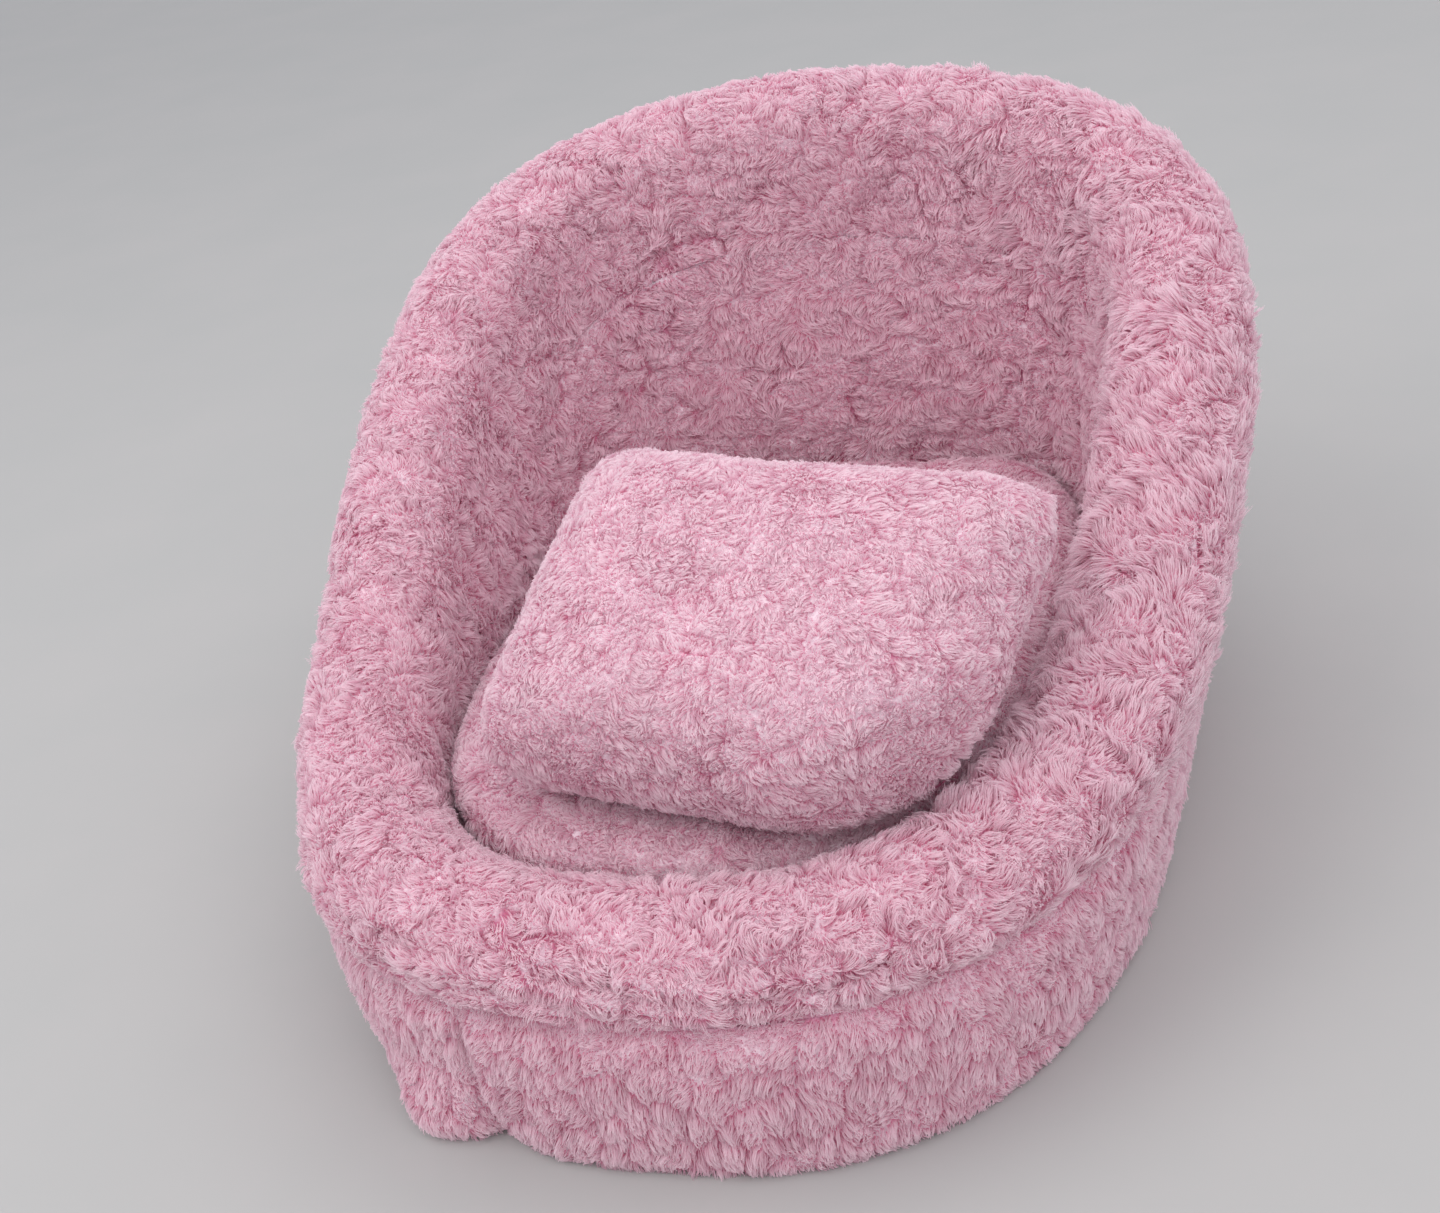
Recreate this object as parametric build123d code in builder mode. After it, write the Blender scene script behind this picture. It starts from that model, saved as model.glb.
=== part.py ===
"""A plush pet bed shaped like a tub chair, with a loose seat cushion and a throw pillow.

Millimetres, +Z up. The open front faces -Y, and the tub is symmetrical about X = 0.
The origin is the middle of the footprint, on the surface that the bed stands on.
"""
from build123d import *
from math import cos, hypot, pi, radians, sin
import os

os.makedirs("parts", exist_ok=True)

# Tub plan: each reach runs from the tub's axis to the outer face of the plush
BASE_HALF_WIDTH = 164
TOP_HALF_WIDTH = 214.5
BASE_FRONT_REACH = 238
TOP_FRONT_REACH = 250
BASE_BACK_REACH = 204
TOP_BACK_REACH = 223
FRONT_SQUARENESS = 2.44  # superellipse exponents, where 2 is a plain ellipse
BACK_SQUARENESS = 2.93
AXIS_Y = 10.3

# Tub heights
FRONT_HEIGHT = 104
BACK_HEIGHT = 266.5
RIM_SWEEP_POWER = 1.3
FRONT_SEAM_HEIGHT = 65
SEAM_CLIMB = 51
LINING_DROP = 72
LINING_EASE = 30

# Wall build-up
WALL = 57.3
COVER = 8  # backing cloth and pressed pile
SEWN_GAP = 0.8
RIM_ROUND = WALL / 2
ROLL_DEPTH = 14
CORE_INSET = COVER + SEWN_GAP

# Floor of the tub
DOT_HEIGHT = 0.8
DOT_RADIUS = 2.2
DOT_PITCH = 26
DOT_FIELD = 0.8
CLOTH = 1.4
HEM_HEIGHT = 1.0
FOAM_BOTTOM = DOT_HEIGHT + CLOTH
BASE_TOP = 46
DECK_TOP = BASE_TOP + CLOTH
FLOOR_GAP = 2

# Seat cushion
SEAT_GAP = 2.2
SEAT_BOTTOM = DECK_TOP + 0.5
SEAT_TOP = 97
SEAT_SEAM_HEIGHT = 72
SEAT_BEVEL = 9
SEAT_FLAT_DEPTH = 9  # the rear edge is cut straight by this much, to carry the zip

# Throw pillow
PILLOW_WIDTH = 194
PILLOW_LENGTH = 146
PILLOW_FRONT_DEPTH = 46  # from the seam to the crown of the front face
PILLOW_BACK_DEPTH = 27  # less, because the pillow's weight flattens the back face
PILLOW_CORNER = 20
PILLOW_TUCK_WIDTH = 47  # the corner that the rim pushes in
PILLOW_TUCK_LENGTH = 53
PILLOW_SHARES = ((0, 1), (0.45, 0.97), (0.8, 0.86), (1, 0.62))  # depth share, outline share
PILLOW_CENTRE = (31, -101, 145.7)
PILLOW_YAW = radians(12)
PILLOW_INCLINE = radians(27)

# Zips
ZIP_TAPE_WIDTH = 16
TAPE = 0.7
COIL_WIDTH = 5
COIL = 1.8
SLIDER_LENGTH = 11
SLIDER_WIDTH = 8.5
SLIDER_HEIGHT = 4.2
STOP_LENGTH = 4
SEAT_ZIP_LENGTH = 110
PILLOW_ZIP_LENGTH = 96
PILLOW_ZIP_RISE = 30

# Pull tab of the pillow's zip
PULL_LENGTH = 17
PULL_WIDTH = 6
PULL_THICKNESS = 1.4
KNUCKLE_RADIUS = 1.8
KNUCKLE_WIDTH = 3
PIN_RADIUS = 0.7
PIN_CLEARANCE = 0.3
PIN_HEIGHT = SLIDER_HEIGHT + KNUCKLE_RADIUS + PIN_CLEARANCE
CHEEK = 1.0

# Care label on the back seam
LABEL_WIDTH = 32
LABEL_DROP = 24
LABEL = 0.5
LABEL_STANDOFF = 0.6

RING_STATIONS = [radians(12 * step) for step in range(16)]
OUTLINE_ANGLES = [radians(12 * step) for step in range(30)]


def reach(angle, height):
    """Distance from the tub's axis to its outer face; the angle is 0 at the front."""
    share = height / BACK_HEIGHT
    half_width = BASE_HALF_WIDTH + (TOP_HALF_WIDTH - BASE_HALF_WIDTH) * share
    if cos(angle) > 0:
        depth = BASE_FRONT_REACH + (TOP_FRONT_REACH - BASE_FRONT_REACH) * share
        power = FRONT_SQUARENESS
    else:
        depth = BASE_BACK_REACH + (TOP_BACK_REACH - BASE_BACK_REACH) * share
        power = BACK_SQUARENESS
    total = abs(sin(angle) / half_width) ** power + abs(cos(angle) / depth) ** power
    return total ** (-1 / power)


def slant(angle):
    """How much longer the wall is along a radius than straight through it."""
    step = radians(0.5)
    growth = (reach(angle + step, SEAT_TOP) - reach(angle - step, SEAT_TOP)) / (2 * step)
    return hypot(1, growth / reach(angle, SEAT_TOP))


def rim_height(angle):
    climb = ((1 - cos(angle)) / 2) ** RIM_SWEEP_POWER
    return FRONT_HEIGHT + (BACK_HEIGHT - FRONT_HEIGHT) * climb


def spring_height(angle):
    """Where the straight wall ends and the rounded rim begins."""
    return rim_height(angle) - RIM_ROUND


def seam_height(angle):
    return FRONT_SEAM_HEIGHT + SEAM_CLIMB * (1 - cos(angle)) / 2


def lining_height(angle):
    """Where the rim cover meets the lining: well below the rim, and never under the deck."""
    above_deck = rim_height(angle) - LINING_DROP - DECK_TOP
    return DECK_TOP + (above_deck + hypot(above_deck, LINING_EASE)) / 2


def wall_reach(angle, height, inset):
    """The wall's straight face at a height, moved in from its outer face."""
    foot = reach(angle, 0)
    head = reach(angle, spring_height(angle))
    return foot + (head - foot) * height / spring_height(angle) - inset * slant(angle)


def wall_point(angle, height, inset):
    return (wall_reach(angle, height, inset), height)


def station(angle):
    """The upright plane through the tub's axis at an angle from the front."""
    return Plane(
        origin=(0, AXIS_Y, 0),
        x_dir=(sin(angle), -cos(angle), 0),
        z_dir=(-cos(angle), -sin(angle), 0),
    )


def tub_outline(height, inset):
    """The closed plan curve of the tub at a height, moved in from its outer face."""
    points = []
    for angle in OUTLINE_ANGLES:
        radius = wall_reach(angle, height, inset)
        points.append((radius * sin(angle), AXIS_Y - radius * cos(angle)))
    Polyline(*points, close=True)


def wall_strip(angle, low, high, outer_inset, inner_inset):
    """A plain section of the wall between two heights and two insets."""
    Polyline(
        wall_point(angle, low, outer_inset),
        wall_point(angle, high, outer_inset),
        wall_point(angle, high, inner_inset),
        wall_point(angle, low, inner_inset),
        close=True,
    )


def rim_arch(angle, inset):
    """The start, crown and end of the rounded rim, moved in from its face."""
    spring = spring_height(angle)
    start = wall_point(angle, spring, inset)
    end = wall_point(angle, spring, WALL - inset)
    crown = ((start[0] + end[0]) / 2, spring + RIM_ROUND - inset)
    return start, crown, end


def tub_block(low, high, inset):
    """A plain slab that fills the tub's plan between two heights."""
    with BuildPart() as block:
        for height in (low, high):
            with BuildSketch(Plane.XY.offset(height)):
                with BuildLine():
                    tub_outline(height, inset)
                make_face()
        loft(ruled=True)
    return block.part


def write(solid, label):
    solid.label = label
    export_step(solid, f"parts/{label}.step")


# ------------------------------------------------------------ wall core and rim roll

with BuildPart() as wall_foam:
    for angle in RING_STATIONS:
        roll_seat = spring_height(angle) - ROLL_DEPTH
        with BuildSketch(station(angle)):
            with BuildLine():
                wall_strip(angle, FOAM_BOTTOM + SEWN_GAP, roll_seat, CORE_INSET, WALL - CORE_INSET)
            make_face()
    loft(ruled=True)
    mirror(about=Plane.YZ)
write(wall_foam.part, "wall_foam")

with BuildPart() as rim_filling:
    for angle in RING_STATIONS:
        foot = spring_height(angle) - ROLL_DEPTH + SEWN_GAP
        start, crown, end = rim_arch(angle, CORE_INSET)
        with BuildSketch(station(angle)):
            with BuildLine():
                Line(wall_point(angle, foot, CORE_INSET), start)
                ThreePointArc(start, crown, end)
                Line(end, wall_point(angle, foot, WALL - CORE_INSET))
                Line(wall_point(angle, foot, WALL - CORE_INSET), wall_point(angle, foot, CORE_INSET))
            make_face()
    loft(ruled=True)
    mirror(about=Plane.YZ)
write(rim_filling.part, "rim_filling")

# ------------------------------------------------------------ plush covers of the tub

with BuildPart() as rim_cover:
    for angle in RING_STATIONS:
        outer_hem = seam_height(angle) + SEWN_GAP
        inner_hem = lining_height(angle) + SEWN_GAP
        start, crown, end = rim_arch(angle, 0)
        back_start, back_crown, back_end = rim_arch(angle, COVER)
        with BuildSketch(station(angle)):
            with BuildLine():
                Line(wall_point(angle, outer_hem, 0), start)
                ThreePointArc(start, crown, end)
                Line(end, wall_point(angle, inner_hem, WALL))
                Line(wall_point(angle, inner_hem, WALL), wall_point(angle, inner_hem, WALL - COVER))
                Line(wall_point(angle, inner_hem, WALL - COVER), back_end)
                ThreePointArc(back_end, back_crown, back_start)
                Line(back_start, wall_point(angle, outer_hem, COVER))
                Line(wall_point(angle, outer_hem, COVER), wall_point(angle, outer_hem, 0))
            make_face()
    loft(ruled=True)
    mirror(about=Plane.YZ)
write(rim_cover.part, "rim_cover")

with BuildPart() as lower_band:
    for angle in RING_STATIONS:
        with BuildSketch(station(angle)):
            with BuildLine():
                wall_strip(angle, HEM_HEIGHT, seam_height(angle), 0, COVER)
            make_face()
    loft(ruled=True)
    mirror(about=Plane.YZ)
write(lower_band.part, "lower_band")

with BuildPart() as inner_lining:
    for angle in RING_STATIONS:
        with BuildSketch(station(angle)):
            with BuildLine():
                wall_strip(angle, DECK_TOP + SEWN_GAP, lining_height(angle), WALL - COVER, WALL)
            make_face()
    loft(ruled=True)
    mirror(about=Plane.YZ)
write(inner_lining.part, "inner_lining")

# ------------------------------------------------------------ floor of the tub

with BuildPart() as underside_cover:
    with BuildSketch(Plane.XY.offset(DOT_HEIGHT)):
        with BuildLine():
            tub_outline(0, COVER + FLOOR_GAP)
        make_face()
    extrude(amount=CLOTH)
    dots = []
    for spot in GridLocations(DOT_PITCH, DOT_PITCH, 11, 15):
        across = spot.position.X / BASE_HALF_WIDTH
        along = (spot.position.Y - AXIS_Y) / BASE_BACK_REACH
        if across**2 + along**2 < DOT_FIELD:
            dots.append((spot.position.X, spot.position.Y))
    with BuildSketch():
        with Locations(*dots):
            Circle(DOT_RADIUS)
    extrude(amount=DOT_HEIGHT)
write(underside_cover.part, "underside_cover")

base_foam = tub_block(FOAM_BOTTOM + SEWN_GAP, BASE_TOP - SEWN_GAP, WALL - COVER + FLOOR_GAP)
write(base_foam, "base_foam")

seat_deck = tub_block(BASE_TOP, DECK_TOP, WALL - COVER + FLOOR_GAP)
write(seat_deck, "seat_deck")

with BuildPart() as care_label:
    with BuildSketch(station(pi)):
        with BuildLine():
            top = seam_height(pi)
            wall_strip(pi, top - LABEL_DROP, top, -LABEL_STANDOFF - LABEL, -LABEL_STANDOFF)
        make_face()
    extrude(amount=LABEL_WIDTH / 2, both=True)
write(care_label.part, "care_label")

# ------------------------------------------------------------ seat cushion

SEAT_INSET = WALL + SEAT_GAP
SEAT_REAR = AXIS_Y + wall_reach(pi, SEAT_SEAM_HEIGHT, SEAT_INSET) - SEAT_FLAT_DEPTH


def seat_block(shrink):
    """The cushion's shape with bevelled edges, drawn in all round by a shrink."""
    bevel = SEAT_BEVEL - shrink / 2
    low = SEAT_BOTTOM + shrink
    high = SEAT_TOP - shrink
    inset = SEAT_INSET + shrink
    with BuildPart() as block:
        levels = [(low, inset + bevel), (low + bevel, inset), (high - bevel, inset), (high, inset + bevel)]
        for height, level_inset in levels:
            with BuildSketch(Plane.XY.offset(height)):
                with BuildLine():
                    tub_outline(height, level_inset)
                make_face()
        loft(ruled=True)
        rear = Plane(origin=(0, SEAT_REAR - shrink, 0), z_dir=(0, 1, 0))
        split(bisect_by=rear, keep=Keep.BOTTOM)
    return block.part


seat_shape = seat_block(0)
seat_hollow = seat_block(COVER)
seat_foam = seat_block(CORE_INSET)
write(seat_foam, "seat_foam")

SEAT_SEAM = Plane.XY.offset(SEAT_SEAM_HEIGHT)
with BuildPart() as seat_top_cover:
    add(seat_shape)
    add(seat_hollow, mode=Mode.SUBTRACT)
    split(bisect_by=SEAT_SEAM, keep=Keep.TOP)
write(seat_top_cover.part, "seat_top_cover")

with BuildPart() as seat_bottom_cover:
    add(seat_shape)
    add(seat_hollow, mode=Mode.SUBTRACT)
    split(bisect_by=SEAT_SEAM, keep=Keep.BOTTOM)
write(seat_bottom_cover.part, "seat_bottom_cover")

# ------------------------------------------------------------ throw pillow

# The pillow's own frame: x along its width, y up its slope, z out of its front face
PILLOW = Plane(
    origin=PILLOW_CENTRE,
    x_dir=(cos(PILLOW_YAW), -sin(PILLOW_YAW), 0),
    z_dir=(
        -sin(PILLOW_YAW) * sin(PILLOW_INCLINE),
        -cos(PILLOW_YAW) * sin(PILLOW_INCLINE),
        cos(PILLOW_INCLINE),
    ),
)


def pillow_outline(share, shrink):
    """The pillow's outline: a rounded rectangle with the corner at the rim pushed in."""
    across = PILLOW_WIDTH * share / 2 - shrink
    along = PILLOW_LENGTH * share / 2 - shrink
    FilletPolyline(
        (-across, -along),
        (across - PILLOW_TUCK_WIDTH * share, -along),
        (across, -along + PILLOW_TUCK_LENGTH * share),
        (across, along),
        (-across, along),
        radius=(PILLOW_CORNER - shrink) * share,
        close=True,
    )


def pillow_block(shrink):
    """The crowned pillow, drawn in all round by a shrink."""
    heights = [(-(PILLOW_BACK_DEPTH - shrink) * depth, share) for depth, share in PILLOW_SHARES[:0:-1]]
    heights += [((PILLOW_FRONT_DEPTH - shrink) * depth, share) for depth, share in PILLOW_SHARES]
    with BuildPart() as block:
        for height, share in heights:
            with BuildSketch(PILLOW.offset(height)):
                with BuildLine():
                    pillow_outline(share, shrink)
                make_face()
        loft(ruled=True)
    return block.part


pillow_shape = pillow_block(0)
pillow_hollow = pillow_block(COVER)
pillow_filling = pillow_block(CORE_INSET)
write(pillow_filling, "pillow_filling")

with BuildPart() as pillow_front_cover:
    add(pillow_shape)
    add(pillow_hollow, mode=Mode.SUBTRACT)
    split(bisect_by=PILLOW, keep=Keep.TOP)
write(pillow_front_cover.part, "pillow_front_cover")

with BuildPart() as pillow_back_cover:
    add(pillow_shape)
    add(pillow_hollow, mode=Mode.SUBTRACT)
    split(bisect_by=PILLOW, keep=Keep.BOTTOM)
write(pillow_back_cover.part, "pillow_back_cover")

# ------------------------------------------------------------ zips

# Each zip's own frame lies on its cover: x along the teeth, z out of the cover
SEAT_ZIP = Plane(origin=(0, SEAT_REAR, SEAT_SEAM_HEIGHT), x_dir=(-1, 0, 0), z_dir=(0, 1, 0))
BACK_FACE = PILLOW.offset(-PILLOW_BACK_DEPTH)
PILLOW_ZIP = Plane(
    origin=BACK_FACE.from_local_coords((0, PILLOW_ZIP_RISE, 0)),
    x_dir=-PILLOW.x_dir,
    z_dir=-PILLOW.z_dir,
)


def zip_tape(face, length):
    """The two woven tapes, closed edge to edge under the teeth."""
    with BuildPart() as tape:
        with BuildSketch(face):
            RectangleRounded(length + ZIP_TAPE_WIDTH, ZIP_TAPE_WIDTH, COIL_WIDTH / 2)
        extrude(amount=TAPE)
    return tape.part


def zip_coil(face, length):
    """The closed row of teeth as one strip."""
    with BuildPart() as coil:
        with BuildSketch(face.offset(TAPE)):
            SlotOverall(length, COIL_WIDTH)
        extrude(amount=COIL)
    return coil.part


def zip_stops(face, length):
    """The crimped stops at the two ends of the teeth."""
    with BuildPart() as stops:
        with BuildSketch(face.offset(TAPE)):
            with Locations((-(length + STOP_LENGTH) / 2 - CHEEK, 0), ((length + STOP_LENGTH) / 2 + CHEEK, 0)):
                RectangleRounded(STOP_LENGTH, COIL_WIDTH, CHEEK)
        extrude(amount=COIL)
    return stops.part


def zip_slider(face, along):
    """A slider body that straddles the teeth, at a place along them."""
    bottom = TAPE + PIN_CLEARANCE
    with BuildPart() as slider:
        with BuildSketch(face.offset(bottom)):
            with Locations((along, 0)):
                RectangleRounded(SLIDER_LENGTH, SLIDER_WIDTH, SLIDER_WIDTH / 3)
        extrude(amount=SLIDER_HEIGHT - bottom)
        with BuildSketch(face.offset(bottom)):
            with Locations((along, 0)):
                Rectangle(SLIDER_LENGTH, COIL_WIDTH + 2 * PIN_CLEARANCE)
        extrude(amount=COIL, mode=Mode.SUBTRACT)
    return slider.part


def pull_pin_plane(face, along, across):
    """A plane square to the pull's pin, which runs across the teeth."""
    return Plane(
        origin=face.from_local_coords((along, across, PIN_HEIGHT)),
        x_dir=face.x_dir,
        z_dir=face.y_dir,
    )


for node, face, length in (("seat", SEAT_ZIP, SEAT_ZIP_LENGTH), ("pillow", PILLOW_ZIP, PILLOW_ZIP_LENGTH)):
    write(zip_tape(face, length), f"{node}_zip_tape")
    write(zip_coil(face, length), f"{node}_zip_coil")
    write(zip_stops(face, length), f"{node}_zip_stops")

seat_start = (SLIDER_LENGTH - SEAT_ZIP_LENGTH) / 2
write(zip_slider(SEAT_ZIP, seat_start), "seat_zip_slider")

pillow_start = (SLIDER_LENGTH - PILLOW_ZIP_LENGTH) / 2
with BuildPart() as pillow_zip_slider:
    add(zip_slider(PILLOW_ZIP, pillow_start))
    for side in (-1, 1):
        cheek_centre = side * (KNUCKLE_WIDTH / 2 + PIN_CLEARANCE + CHEEK / 2)
        with BuildSketch(pull_pin_plane(PILLOW_ZIP, pillow_start, cheek_centre)):
            Circle(KNUCKLE_RADIUS)
            with Locations((0, KNUCKLE_RADIUS)):
                Rectangle(2 * KNUCKLE_RADIUS, 2 * KNUCKLE_RADIUS)
        extrude(amount=CHEEK / 2, both=True)
    with BuildSketch(pull_pin_plane(PILLOW_ZIP, pillow_start, 0)):
        Circle(PIN_RADIUS)
    extrude(amount=KNUCKLE_WIDTH / 2 + PIN_CLEARANCE + CHEEK / 2, both=True)
write(pillow_zip_slider.part, "pillow_zip_slider")

with BuildPart() as pillow_zip_pull:
    pin_plane = pull_pin_plane(PILLOW_ZIP, pillow_start, 0)
    hanging_plane = Plane(
        origin=pin_plane.origin,
        x_dir=PILLOW_ZIP.y_dir,
        z_dir=PILLOW_ZIP.x_dir,
    )
    with BuildSketch(hanging_plane):
        with Locations((0, KNUCKLE_RADIUS)):
            Rectangle(KNUCKLE_WIDTH, 2 * KNUCKLE_RADIUS)
        with Locations((0, (KNUCKLE_RADIUS + PULL_LENGTH) / 2 + PIN_RADIUS)):
            RectangleRounded(PULL_WIDTH, PULL_LENGTH - KNUCKLE_RADIUS, PULL_WIDTH / 3)
    extrude(amount=PULL_THICKNESS / 2, both=True)
    with BuildSketch(pin_plane):
        Circle(KNUCKLE_RADIUS)
    extrude(amount=KNUCKLE_WIDTH / 2, both=True)
    with BuildSketch(pin_plane):
        Circle(PIN_RADIUS + PIN_CLEARANCE)
    extrude(amount=KNUCKLE_WIDTH, both=True, mode=Mode.SUBTRACT)
write(pillow_zip_pull.part, "pillow_zip_pull")
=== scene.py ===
"""The looks of the plush pet bed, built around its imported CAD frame.

Shapes are worked out in millimetres in the CAD frame, and become metres where a mesh is made.
Angles on the tub run from 0 at the open front (-Y), through +X, to pi at the back.
"""
from itertools import product
from math import cos, pi, radians, sin
from typing import NamedTuple

import bpy
import numpy as np
from mathutils import Matrix, Vector


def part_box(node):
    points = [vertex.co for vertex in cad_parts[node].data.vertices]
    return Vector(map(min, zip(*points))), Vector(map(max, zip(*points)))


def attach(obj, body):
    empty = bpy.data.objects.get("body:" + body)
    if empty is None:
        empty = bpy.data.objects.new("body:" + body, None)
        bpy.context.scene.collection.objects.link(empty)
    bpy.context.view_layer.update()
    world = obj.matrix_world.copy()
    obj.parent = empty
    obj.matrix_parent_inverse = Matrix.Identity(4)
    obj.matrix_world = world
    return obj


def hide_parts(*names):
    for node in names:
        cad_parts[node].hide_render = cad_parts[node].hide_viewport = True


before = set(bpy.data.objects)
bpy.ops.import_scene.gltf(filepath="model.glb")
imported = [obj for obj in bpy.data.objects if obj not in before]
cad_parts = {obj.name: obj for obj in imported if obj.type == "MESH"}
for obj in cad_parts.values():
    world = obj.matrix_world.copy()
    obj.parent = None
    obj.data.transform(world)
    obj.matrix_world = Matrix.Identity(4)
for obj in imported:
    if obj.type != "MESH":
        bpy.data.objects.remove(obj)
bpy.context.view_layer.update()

MM = 0.001

# ---------------------------------------------------------------- the tub's shape, as in the CAD

BASE_HALF_WIDTH = 164
TOP_HALF_WIDTH = 214.5
BASE_FRONT_REACH = 238
TOP_FRONT_REACH = 250
BASE_BACK_REACH = 204
TOP_BACK_REACH = 223
FRONT_SQUARENESS = 2.44
BACK_SQUARENESS = 2.93
AXIS_Y = 10.3
FRONT_HEIGHT = 104
BACK_HEIGHT = 266.5
RIM_SWEEP_POWER = 1.3
FRONT_SEAM_HEIGHT = 65
SEAM_CLIMB = 51
LINING_DROP = 72
LINING_EASE = 30
WALL = 57.3
RIM_ROUND = WALL / 2
HEM_HEIGHT = 1.0
DECK_TOP = 47.4
SEWN_GAP = 0.8
SEAT_GAP = 2.2
DECK_GAP = 0.6
SEAT_BOTTOM = 47.9
SEAT_TOP = 97
SEAT_SEAM_HEIGHT = 72
SEAT_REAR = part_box("seat_top_cover")[1].y / MM

# The pile: how deep the backing lies under the CAD's outer face, and how thick it is
PILE_BED = 2.8
BACKING = 8.4
SEAM_DIP = 4.4
LEAST_PLUSH = 0.8


def mix(low, high, share):
    return low + (high - low) * share


def smooth_step(low, high, value):
    share = np.clip((value - low) / (high - low), 0, 1)
    return share * share * (3 - 2 * share)


def reach(angle, height):
    """Distance from the tub's axis to its outer face."""
    share = height / BACK_HEIGHT
    half_width = mix(BASE_HALF_WIDTH, TOP_HALF_WIDTH, share)
    front = np.cos(angle) > 0
    front_depth = mix(BASE_FRONT_REACH, TOP_FRONT_REACH, share)
    back_depth = mix(BASE_BACK_REACH, TOP_BACK_REACH, share)
    depth = np.where(front, front_depth, back_depth)
    power = np.where(front, FRONT_SQUARENESS, BACK_SQUARENESS)
    total = np.abs(np.sin(angle) / half_width) ** power + np.abs(np.cos(angle) / depth) ** power
    return total ** (-1 / power)


def slant(angle):
    """How much longer the wall is along a radius than straight through it."""
    step = radians(0.5)
    growth = (reach(angle + step, SEAT_TOP) - reach(angle - step, SEAT_TOP)) / (2 * step)
    return np.hypot(1, growth / reach(angle, SEAT_TOP))


def rim_height(angle):
    climb = ((1 - np.cos(angle)) / 2) ** RIM_SWEEP_POWER
    return mix(FRONT_HEIGHT, BACK_HEIGHT, climb)


def spring_height(angle):
    return rim_height(angle) - RIM_ROUND


def seam_height(angle):
    return FRONT_SEAM_HEIGHT + SEAM_CLIMB * (1 - np.cos(angle)) / 2


def lining_height(angle):
    above_deck = rim_height(angle) - LINING_DROP - DECK_TOP
    return DECK_TOP + (above_deck + np.hypot(above_deck, LINING_EASE)) / 2


def wall_reach(angle, height, inset):
    foot = reach(angle, 0)
    head = reach(angle, spring_height(angle))
    return foot + (head - foot) * height / spring_height(angle) - inset * slant(angle)


def from_axis(angle, radius, height):
    """Points from their angle, distance from the tub's axis and height."""
    x = radius * np.sin(angle)
    y = AXIS_Y - radius * np.cos(angle)
    return np.stack(np.broadcast_arrays(x, y, height), axis=-1)


# ---------------------------------------------------------------- noise on points in space


def hashed(cells, seed):
    """A number from 0 to 1 for each whole-number cell of space."""
    x, y, z = np.moveaxis(cells.astype(np.int64), -1, 0)
    mixed = (x * 73856093) ^ (y * 19349663) ^ (z * 83492791) ^ (seed * 2654435761)
    mixed = ((mixed ^ (mixed >> 13)) * 1274126177) & 0xFFFFFFFF
    mixed = ((mixed ^ (mixed >> 15)) * 2246822519) & 0xFFFFFFFF
    mixed = mixed ^ (mixed >> 13)
    return (mixed & 0xFFFFFF) / 0x1000000


def swell(points, size, seed):
    """Smooth noise from -1 to 1 with waves of about one size."""
    scaled = points / size
    base = np.floor(scaled)
    share = scaled - base
    share = share * share * (3 - 2 * share)
    total = 0
    for corner in product((0, 1), repeat=3):
        weight = np.prod(np.where(np.array(corner) == 1, share, 1 - share), axis=-1)
        total = total + weight * hashed(base + corner, seed)
    return 2 * total - 1


WANDER = 0.35
WANDER_SIZE = 1.3


def tufts(points, size, seed):
    """The nearest scattered centre to each point: its place, a random key, and how near a border is."""
    wander = np.stack([swell(points, WANDER_SIZE * size, seed + axis) for axis in range(3)], axis=-1)
    scaled = points / size + WANDER * wander
    base = np.floor(scaled)
    first = np.full(points.shape[:-1], 9.0)
    second = first.copy()
    centre = np.zeros_like(points)
    key = np.zeros(points.shape[:-1])
    for offset in product((-1, 0, 1), repeat=3):
        cell = base + offset
        spot = cell + 0.1 + 0.8 * np.stack([hashed(cell, seed + axis) for axis in range(3)], axis=-1)
        distance = np.linalg.norm(spot - scaled, axis=-1)
        nearer = distance < first
        second = np.where(nearer, first, np.minimum(second, distance))
        centre[nearer] = spot[nearer]
        key[nearer] = hashed(cell[nearer], seed + 3)
        first = np.minimum(first, distance)
    return centre * size, key, second - first


# ---------------------------------------------------------------- surfaces and meshes

# Shares of the UV square: the seen front of a sleeve or panel takes most of it
SLEEVE_FRONT = (0, 0.93)
SLEEVE_BACK = (0.95, 0.99)
PANEL_FRONT = 0.9
PANEL_BACK = 0.09
PANEL_BACK_START = 0.905
PANEL_EDGE = ((0.997, 0), (0.998, 0), (0.998, 1), (0.997, 1))


def unit(vectors):
    return vectors / np.maximum(np.linalg.norm(vectors, axis=-1, keepdims=True), 1e-9)


def slopes(points, ring):
    """Unit tangents of a grid along its columns and its rows. A ring closes along its columns."""
    if ring:
        along = np.roll(points, -1, axis=0) - np.roll(points, 1, axis=0)
    else:
        along = np.gradient(points, axis=0)
    return unit(along), unit(np.gradient(points, axis=1))


def facing(points, ring):
    along, up = slopes(points, ring)
    return unit(np.cross(along, up))


def relaxed(points, rounds, ring):
    """The same grid with its kinks eased, and its first and last rows left where they are."""
    eased = points.copy()
    for _ in range(rounds):
        eased[:, 1:-1] = (eased[:, :-2] + 2 * eased[:, 1:-1] + eased[:, 2:]) / 4
        if not ring:
            eased[1:-1] = (eased[:-2] + 2 * eased[1:-1] + eased[2:]) / 4
    return eased


def grid_faces(columns, rows, ring, closed_rows=False):
    """Quads of a grid, with each corner's column and row before wrapping."""
    i, j = np.meshgrid(
        np.arange(columns if ring else columns - 1),
        np.arange(rows if closed_rows else rows - 1),
        indexing="ij",
    )
    corner_columns = np.stack([i, i + 1, i + 1, i], axis=-1).reshape(-1, 4)
    corner_rows = np.stack([j, j, j + 1, j + 1], axis=-1).reshape(-1, 4)
    faces = (corner_columns % columns) * rows + corner_rows % rows
    return faces, corner_columns, corner_rows


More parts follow.
